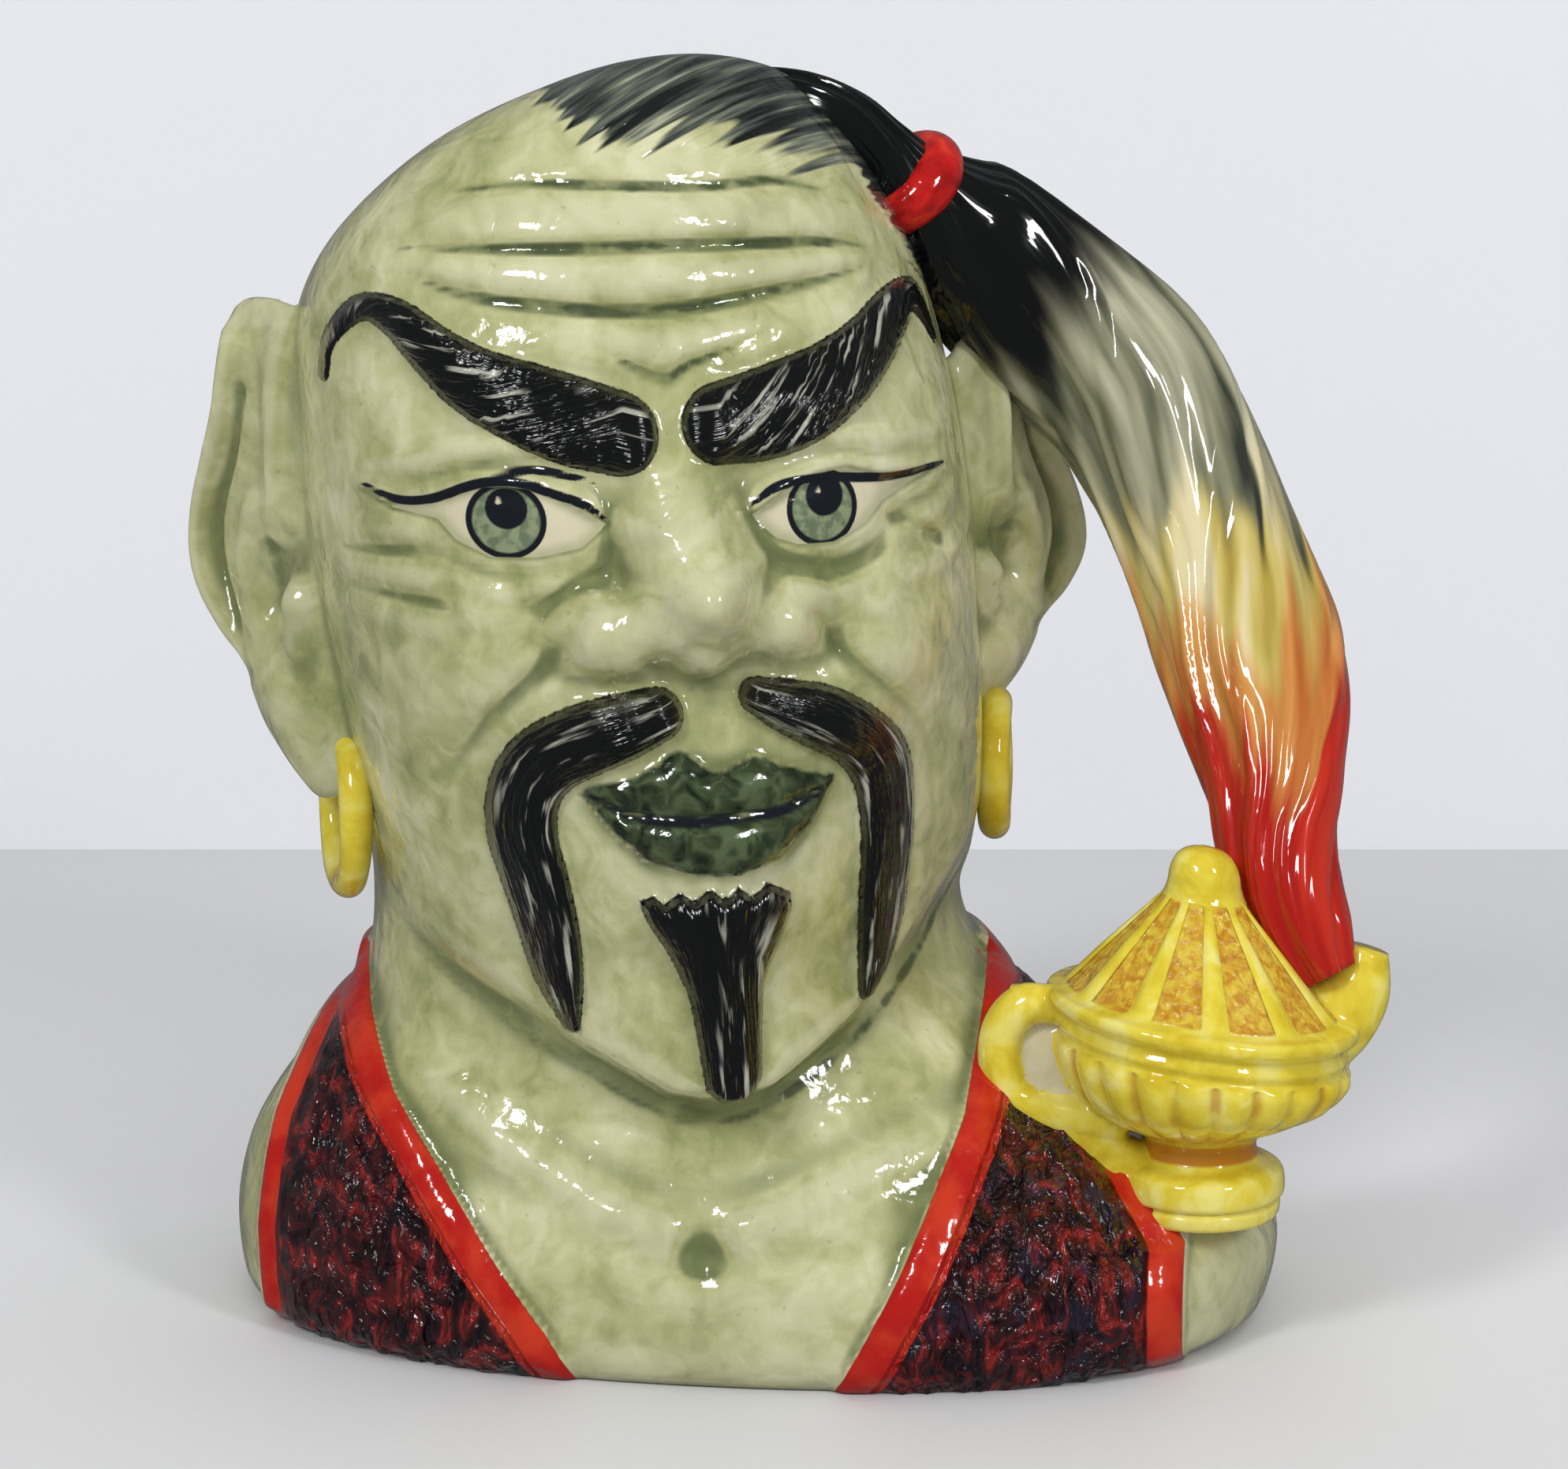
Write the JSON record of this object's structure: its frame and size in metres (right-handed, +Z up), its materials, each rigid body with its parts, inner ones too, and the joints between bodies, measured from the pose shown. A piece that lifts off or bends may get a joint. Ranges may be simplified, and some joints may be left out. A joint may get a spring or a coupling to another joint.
{
  "type": "toby jug",
  "caption": "Glazed earthenware toby jug cast as a green genie's head and shoulders, with a ponytail handle that runs down into an oil lamp.",
  "frame": {"origin": "centre of the bounding box, on the plane that the foot stands on", "axes": "+Z up out of the foot, the face looks towards -Y, and the ponytail handle is on the +X side"},
  "size_m": [0.1704, 0.1134, 0.1795],
  "materials": {
    "glazed_earthenware": "gloss"
  },
  "bodies": {
    "root": {"toby_jug": "glazed_earthenware"}
  },
  "joints": []
}
